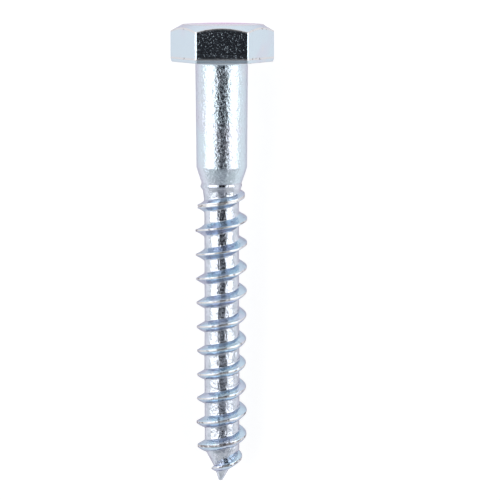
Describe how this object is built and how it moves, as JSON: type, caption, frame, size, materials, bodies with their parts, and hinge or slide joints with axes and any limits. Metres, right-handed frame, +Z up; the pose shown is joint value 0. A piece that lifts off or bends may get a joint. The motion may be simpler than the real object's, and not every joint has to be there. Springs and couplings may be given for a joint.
{
  "type": "lag screw",
  "caption": "Hexagon-head lag screw with a plain shank, a coarse right-hand wood thread and a gimlet point, lying as it rests on its head and thread.",
  "frame": {"origin": "centre of the head's bearing face, where the shank leaves it", "axes": "+X along the length towards the point, which dips by about 3 degrees because the screw lies on a flat of its head and a thread crest; +Z up from the surface it lies on; +Y level, across the corners of the head"},
  "size_m": [0.0873, 0.0192, 0.0171],
  "materials": {
    "zinc_steel": "bright blue-white zinc plating"
  },
  "bodies": {
    "root": {"lag_screw": "zinc_steel"}
  },
  "joints": []
}
